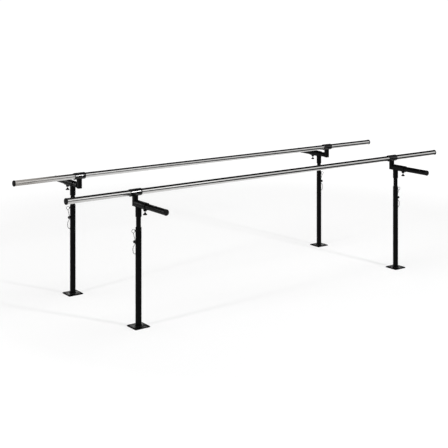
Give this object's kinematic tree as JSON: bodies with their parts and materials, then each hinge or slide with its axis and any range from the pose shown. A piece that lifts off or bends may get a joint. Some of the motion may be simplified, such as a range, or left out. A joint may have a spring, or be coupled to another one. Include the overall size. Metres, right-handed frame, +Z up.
{
  "type": "walking parallel bars",
  "caption": "Floor-mounted walking parallel bars: two polished handrails on telescoping black uprights, adjustable in height and in width.",
  "frame": {"origin": "on the floor, in the middle of the length over the rails and of the width over the arm caps", "axes": "+X along the handrails towards their right-hand ends, +Y from the near rail to the far rail, +Z up"},
  "size_m": [3.05, 1.3512, 0.7957],
  "materials": {
    "plate": "black powder coat, satin",
    "tube": "black powder coat, satin",
    "inner_tube": "black enamel, smooth satin, rubbed by the bush",
    "head": "black powder coat, satin",
    "arm": "black powder coat, semi-gloss",
    "riser": "black powder coat, semi-gloss",
    "nylon": "plain nylon",
    "arm_cap": "fine moulded texture",
    "rail_cap": "fine moulded texture",
    "pull_knob": "moulded knob on a bright steel stem",
    "tension_knob": "fluted moulded knob",
    "zinc": "bright zinc plate",
    "chain": "bright zinc plate",
    "spring": "spring steel wire",
    "rail": "polished stainless tube"
  },
  "bodies": {
    "uprights": {"base_plate_near_left": "plate", "outer_tube_near_left": "tube", "guide_bush_near_left": "nylon", "lanyard_chain_near_left": "chain", "base_plate_near_right": "plate", "outer_tube_near_right": "tube", "guide_bush_near_right": "nylon", "lanyard_chain_near_right": "chain", "base_plate_far_left": "plate", "outer_tube_far_left": "tube", "guide_bush_far_left": "nylon", "lanyard_chain_far_left": "chain", "base_plate_far_right": "plate", "outer_tube_far_right": "tube", "guide_bush_far_right": "nylon", "lanyard_chain_far_right": "chain"},
    "near_lift": {"inner_tube_near_left": "inner_tube", "head_near_left": "head", "width_spring_near_left": "spring", "inner_tube_near_right": "inner_tube", "head_near_right": "head", "width_spring_near_right": "spring"},
    "near_rail_set": {"rail_near": "rail", "rail_cap_near_left": "rail_cap", "rail_cap_near_right": "rail_cap", "slide_arm_near_left": "arm", "arm_cap_near_left": "arm_cap", "riser_near_left": "riser", "slide_arm_near_right": "arm", "arm_cap_near_right": "arm_cap", "riser_near_right": "riser"},
    "far_lift": {"inner_tube_far_left": "inner_tube", "head_far_left": "head", "width_spring_far_left": "spring", "inner_tube_far_right": "inner_tube", "head_far_right": "head", "width_spring_far_right": "spring"},
    "far_rail_set": {"rail_far": "rail", "rail_cap_far_left": "rail_cap", "rail_cap_far_right": "rail_cap", "slide_arm_far_left": "arm", "arm_cap_far_left": "arm_cap", "riser_far_left": "riser", "slide_arm_far_right": "arm", "arm_cap_far_right": "arm_cap", "riser_far_right": "riser"},
    "width_pin_body_near_left": {"width_pin_near_left": "pull_knob"},
    "height_pin_body_near_left": {"height_pin_near_left": "zinc"},
    "height_knob_body_near_left": {"height_knob_near_left": "tension_knob"},
    "width_pin_body_near_right": {"width_pin_near_right": "pull_knob"},
    "height_pin_body_near_right": {"height_pin_near_right": "zinc"},
    "height_knob_body_near_right": {"height_knob_near_right": "tension_knob"},
    "width_pin_body_far_left": {"width_pin_far_left": "pull_knob"},
    "height_pin_body_far_left": {"height_pin_far_left": "zinc"},
    "height_knob_body_far_left": {"height_knob_far_left": "tension_knob"},
    "width_pin_body_far_right": {"width_pin_far_right": "pull_knob"},
    "height_pin_body_far_right": {"height_pin_far_right": "zinc"},
    "height_knob_body_far_right": {"height_knob_far_right": "tension_knob"}
  },
  "joints": [
    {"name": "near_height", "type": "slide", "parent": "uprights", "child": "near_lift", "axis": [0, 0, 1], "range_m": [-0.0508, 0.254]},
    {"name": "near_width", "type": "slide", "parent": "near_lift", "child": "near_rail_set", "axis": [0, 1, 0], "range_m": [0, 0.1524]},
    {"name": "far_height", "type": "slide", "parent": "uprights", "child": "far_lift", "axis": [0, 0, 1], "range_m": [-0.0508, 0.254]},
    {"name": "far_width", "type": "slide", "parent": "far_lift", "child": "far_rail_set", "axis": [0, -1, 0], "range_m": [-0.0508, 0.1016]},
    {"name": "width_pin_near_left", "type": "slide", "parent": "near_lift", "child": "width_pin_body_near_left", "axis": [0, 0, -1], "range_m": [0, 0.0034], "stiffness_N_per_m": 600, "springref_m": -0.006, "deforming": ["width_spring_near_left"]},
    {"name": "height_pin_near_left", "type": "slide", "parent": "uprights", "child": "height_pin_body_near_left", "axis": [-1, 0, 0], "range_m": [0, 0.042]},
    {"name": "height_knob_near_left", "type": "hinge", "parent": "uprights", "child": "height_knob_body_near_left", "pos_m": [-1.071, -0.3786, 0.497], "axis": [-1, 0, 0], "range_deg": [0, 180]},
    {"name": "width_pin_near_right", "type": "slide", "parent": "near_lift", "child": "width_pin_body_near_right", "axis": [0, 0, -1], "range_m": [0, 0.0034], "stiffness_N_per_m": 600, "springref_m": -0.006, "deforming": ["width_spring_near_right"]},
    {"name": "height_pin_near_right", "type": "slide", "parent": "uprights", "child": "height_pin_body_near_right", "axis": [1, 0, 0], "range_m": [0, 0.042]},
    {"name": "height_knob_near_right", "type": "hinge", "parent": "uprights", "child": "height_knob_body_near_right", "pos_m": [1.071, -0.3786, 0.497], "axis": [1, 0, 0], "range_deg": [0, 180]},
    {"name": "width_pin_far_left", "type": "slide", "parent": "far_lift", "child": "width_pin_body_far_left", "axis": [0, 0, -1], "range_m": [0, 0.0034], "stiffness_N_per_m": 600, "springref_m": -0.006, "deforming": ["width_spring_far_left"]},
    {"name": "height_pin_far_left", "type": "slide", "parent": "uprights", "child": "height_pin_body_far_left", "axis": [-1, 0, 0], "range_m": [0, 0.042]},
    {"name": "height_knob_far_left", "type": "hinge", "parent": "uprights", "child": "height_knob_body_far_left", "pos_m": [-1.071, 0.4294, 0.497], "axis": [-1, 0, 0], "range_deg": [0, 180]},
    {"name": "width_pin_far_right", "type": "slide", "parent": "far_lift", "child": "width_pin_body_far_right", "axis": [0, 0, -1], "range_m": [0, 0.0034], "stiffness_N_per_m": 600, "springref_m": -0.006, "deforming": ["width_spring_far_right"]},
    {"name": "height_pin_far_right", "type": "slide", "parent": "uprights", "child": "height_pin_body_far_right", "axis": [1, 0, 0], "range_m": [0, 0.042]},
    {"name": "height_knob_far_right", "type": "hinge", "parent": "uprights", "child": "height_knob_body_far_right", "pos_m": [1.071, 0.4294, 0.497], "axis": [1, 0, 0], "range_deg": [0, 180]}
  ]
}
